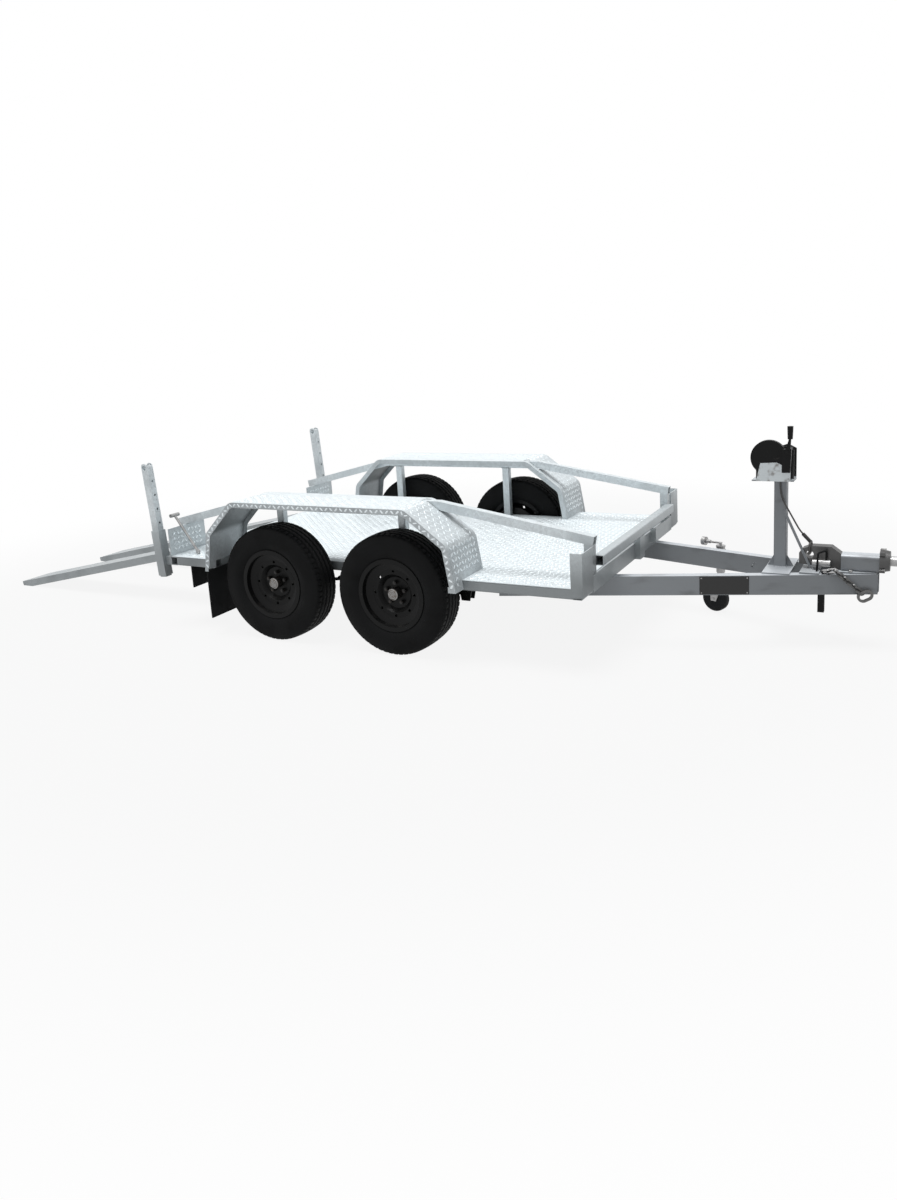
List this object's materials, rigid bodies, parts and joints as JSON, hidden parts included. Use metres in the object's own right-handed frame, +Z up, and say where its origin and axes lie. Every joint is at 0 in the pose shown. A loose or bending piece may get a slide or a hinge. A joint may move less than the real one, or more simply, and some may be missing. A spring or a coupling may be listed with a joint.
{
  "type": "tandem-axle plant trailer",
  "caption": "Low-deck tandem-axle plant trailer with wheel guards, side rails, hinged loading ramps, sliding rear legs, post-mounted hand winch, override coupling and jockey wheel.",
  "frame": {"origin": "on the floor, halfway between the ramps' tips and the coupling's nose, on the centre line", "axes": "+X forward to the coupling, +Y to the trailer's left, +Z up"},
  "size_m": [5.936, 1.882, 1.104],
  "materials": {
    "galvanised_frame": "hot-dip galvanised, spangled",
    "galvanised_bright": "galvanised tread plate, bright",
    "painted_drawbar": "flat silver-grey paint",
    "black_paint": "satin black paint",
    "cast_zinc": "zinc-plated casting",
    "machined_hub": "machined and cast hub",
    "tyre_rubber": "road tyre",
    "flap_rubber": "moulded sheet",
    "wire_rope": "stranded wire rope",
    "sign_black": "blank panel",
    "wheel_rubber": "solid rubber",
    "dark_casting": "rough dark casting",
    "chain_steel": "dull steel chain",
    "hose_rubber": "brake hose"
  },
  "bodies": {
    "chassis": {"deck_plate": "galvanised_bright", "deck_rails": "galvanised_frame", "deck_cross_members": "galvanised_frame", "deck_side_members": "galvanised_frame", "drawbar_left": "painted_drawbar", "drawbar_right": "painted_drawbar", "side_rails": "galvanised_frame", "guard_uprights": "galvanised_frame", "guard_left": "galvanised_bright", "guard_right": "galvanised_bright", "corner_posts": "galvanised_frame", "front_stop_tube": "galvanised_frame", "rear_plates": "galvanised_bright", "mud_flaps": "flap_rubber", "leg_sleeves": "galvanised_frame", "ramp_hinge_bar": "galvanised_frame", "axles": "black_paint", "leaf_springs": "black_paint", "spring_hangers": "black_paint", "spring_rockers": "black_paint", "winch_post": "painted_drawbar", "winch_frame": "cast_zinc", "winch_drum": "black_paint", "winch_crank": "black_paint", "winch_rope": "wire_rope", "post_brace": "painted_drawbar", "coupling_body": "painted_drawbar", "coupling_head": "cast_zinc", "brake_cylinder": "cast_zinc", "coupling_casting": "dark_casting", "safety_chain": "chain_steel", "brake_hose": "hose_rubber", "under_bracket": "black_paint", "deck_side_sheets": "galvanised_bright", "sign_panel": "sign_black", "jack_bracket": "cast_zinc", "hold_rod": "cast_zinc"},
    "wheel_rear_left": {"tyre_rear_left": "tyre_rubber", "rim_rear_left": "black_paint", "hub_rear_left": "machined_hub"},
    "wheel_rear_right": {"tyre_rear_right": "tyre_rubber", "rim_rear_right": "black_paint", "hub_rear_right": "machined_hub"},
    "wheel_front_left": {"tyre_front_left": "tyre_rubber", "rim_front_left": "black_paint", "hub_front_left": "machined_hub"},
    "wheel_front_right": {"tyre_front_right": "tyre_rubber", "rim_front_right": "black_paint", "hub_front_right": "machined_hub"},
    "ramp_left": {"ramp_left": "galvanised_frame"},
    "ramp_right": {"ramp_right": "galvanised_frame"},
    "leg_left": {"leg_left": "galvanised_frame"},
    "leg_right": {"leg_right": "galvanised_frame"},
    "jack": {"jack_clamp": "cast_zinc", "jack_tube": "cast_zinc"},
    "jack_inner": {"jack_leg": "cast_zinc"},
    "jack_castor": {"jack_fork": "cast_zinc"},
    "jack_roller": {"jack_wheel": "wheel_rubber"}
  },
  "joints": [
    {"name": "wheel_rear_left_spin", "type": "hinge", "parent": "chassis", "child": "wheel_rear_left", "pos_m": [-0.29197, 0.815, 0.328], "axis": [0, 1, 0], "continuous": true},
    {"name": "wheel_rear_right_spin", "type": "hinge", "parent": "chassis", "child": "wheel_rear_right", "pos_m": [-0.29197, -0.815, 0.328], "axis": [0, 1, 0], "continuous": true},
    {"name": "wheel_front_left_spin", "type": "hinge", "parent": "chassis", "child": "wheel_front_left", "pos_m": [0.48803, 0.815, 0.328], "axis": [0, 1, 0], "continuous": true},
    {"name": "wheel_front_right_spin", "type": "hinge", "parent": "chassis", "child": "wheel_front_right", "pos_m": [0.48803, -0.815, 0.328], "axis": [0, 1, 0], "continuous": true},
    {"name": "ramp_left_hinge", "type": "hinge", "parent": "chassis", "child": "ramp_left", "pos_m": [-1.10897, 0.3635, 0.398], "axis": [0, 1, 0], "range_deg": [0, 102]},
    {"name": "ramp_right_hinge", "type": "hinge", "parent": "chassis", "child": "ramp_right", "pos_m": [-1.10897, -0.3635, 0.398], "axis": [0, 1, 0], "range_deg": [0, 102]},
    {"name": "leg_left_slide", "type": "slide", "parent": "chassis", "child": "leg_left", "axis": [0.0698, 0, -0.9976], "range_m": [0, 0.29]},
    {"name": "leg_right_slide", "type": "slide", "parent": "chassis", "child": "leg_right", "axis": [0.0698, 0, -0.9976], "range_m": [0, 0.29]},
    {"name": "jack_swing", "type": "hinge", "parent": "chassis", "child": "jack", "pos_m": [1.88803, 0.29796, 0.326], "axis": [-0.2944, -0.9557, 0], "range_deg": [0, 90]},
    {"name": "jack_lift", "type": "slide", "parent": "jack", "child": "jack_inner", "axis": [0, 0, 1], "range_m": [-0.055, 0.055]},
    {"name": "jack_swivel", "type": "hinge", "parent": "jack_inner", "child": "jack_castor", "pos_m": [1.90098, 0.34001, 0.17], "axis": [0, 0, 1], "continuous": true},
    {"name": "jack_roll", "type": "hinge", "parent": "jack_castor", "child": "jack_roller", "pos_m": [1.87231, 0.34885, 0.075], "axis": [0.2944, 0.9557, 0], "continuous": true}
  ]
}
